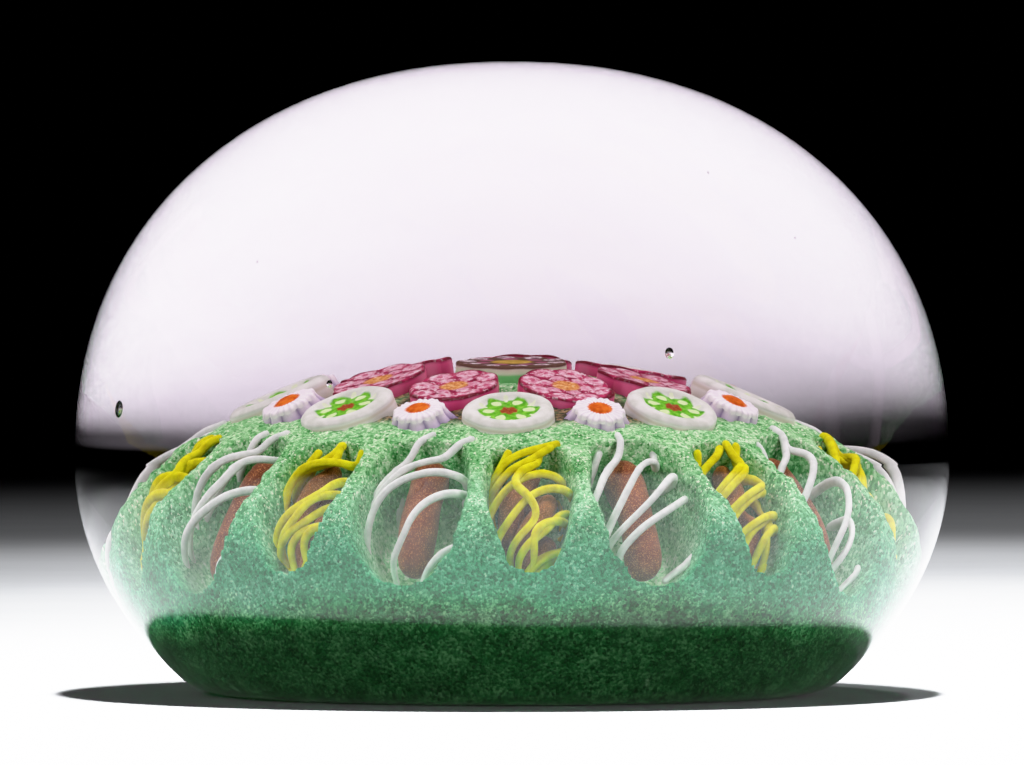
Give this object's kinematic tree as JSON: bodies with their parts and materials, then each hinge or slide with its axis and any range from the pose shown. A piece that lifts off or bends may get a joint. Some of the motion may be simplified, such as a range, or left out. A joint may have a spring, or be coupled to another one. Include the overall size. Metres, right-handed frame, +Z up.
{
  "type": "glass paperweight",
  "caption": "Domed clear glass paperweight over a green crushed-glass ground, with patterned canes on top and twisted rods down its shoulder; rests on a flat base.",
  "frame": {"origin": "centre of the flat base, which lies in the plane Z = 0", "axes": "+Z up along the dome's axis; -Y is the side that faces the viewer; +X to the viewer's right"},
  "size_m": [0.075, 0.075, 0.0541],
  "materials": {
    "clear_glass": "clear, fire-polished, very faintly lavender",
    "frit_glass": "crushed mid-green glass with pale flecks and fine gold sparkle",
    "gather_glass": "dark green, ground flat below",
    "centre_cane_glass": "ochre and gold with a dark surround",
    "pink_cane_glass": "raspberry with white petals and orange centres",
    "star_cane_glass": "opaque white drum with a green six-pointed star",
    "daisy_cane_glass": "white scalloped top with an orange-red dot, lavender to purple sides",
    "white_rod_glass": "clear, wound with fine white threads",
    "yellow_rod_glass": "clear, wound with close yellow threads",
    "aventurine_glass": "brown aventurine full of copper flecks"
  },
  "bodies": {
    "root": {"clear_crown": "clear_glass", "frit_ground": "frit_glass", "base_gather": "gather_glass", "centre_cane": "centre_cane_glass", "pink_cane_1": "pink_cane_glass", "pink_cane_2": "pink_cane_glass", "pink_cane_3": "pink_cane_glass", "pink_cane_4": "pink_cane_glass", "pink_cane_5": "pink_cane_glass", "pink_cane_6": "pink_cane_glass", "pink_cane_7": "pink_cane_glass", "star_cane_1": "star_cane_glass", "star_cane_2": "star_cane_glass", "star_cane_3": "star_cane_glass", "star_cane_4": "star_cane_glass", "star_cane_5": "star_cane_glass", "star_cane_6": "star_cane_glass", "star_cane_7": "star_cane_glass", "daisy_cane_1": "daisy_cane_glass", "daisy_cane_2": "daisy_cane_glass", "daisy_cane_3": "daisy_cane_glass", "daisy_cane_4": "daisy_cane_glass", "daisy_cane_5": "daisy_cane_glass", "daisy_cane_6": "daisy_cane_glass", "daisy_cane_7": "daisy_cane_glass", "white_twist_1": "white_rod_glass", "white_twist_1_core": "aventurine_glass", "white_twist_2": "white_rod_glass", "white_twist_2_core": "aventurine_glass", "white_twist_3": "white_rod_glass", "white_twist_3_core": "aventurine_glass", "white_twist_4": "white_rod_glass", "white_twist_4_core": "aventurine_glass", "white_twist_5": "white_rod_glass", "white_twist_5_core": "aventurine_glass", "white_twist_6": "white_rod_glass", "white_twist_6_core": "aventurine_glass", "white_twist_7": "white_rod_glass", "white_twist_7_core": "aventurine_glass", "white_twist_8": "white_rod_glass", "white_twist_8_core": "aventurine_glass", "yellow_twist_1": "yellow_rod_glass", "yellow_twist_1_core": "aventurine_glass", "yellow_twist_2": "yellow_rod_glass", "yellow_twist_2_core": "aventurine_glass", "yellow_twist_3": "yellow_rod_glass", "yellow_twist_3_core": "aventurine_glass", "yellow_twist_4": "yellow_rod_glass", "yellow_twist_4_core": "aventurine_glass", "yellow_twist_5": "yellow_rod_glass", "yellow_twist_5_core": "aventurine_glass", "yellow_twist_6": "yellow_rod_glass", "yellow_twist_6_core": "aventurine_glass", "yellow_twist_7": "yellow_rod_glass", "yellow_twist_7_core": "aventurine_glass", "yellow_twist_8": "yellow_rod_glass", "yellow_twist_8_core": "aventurine_glass"}
  },
  "joints": []
}
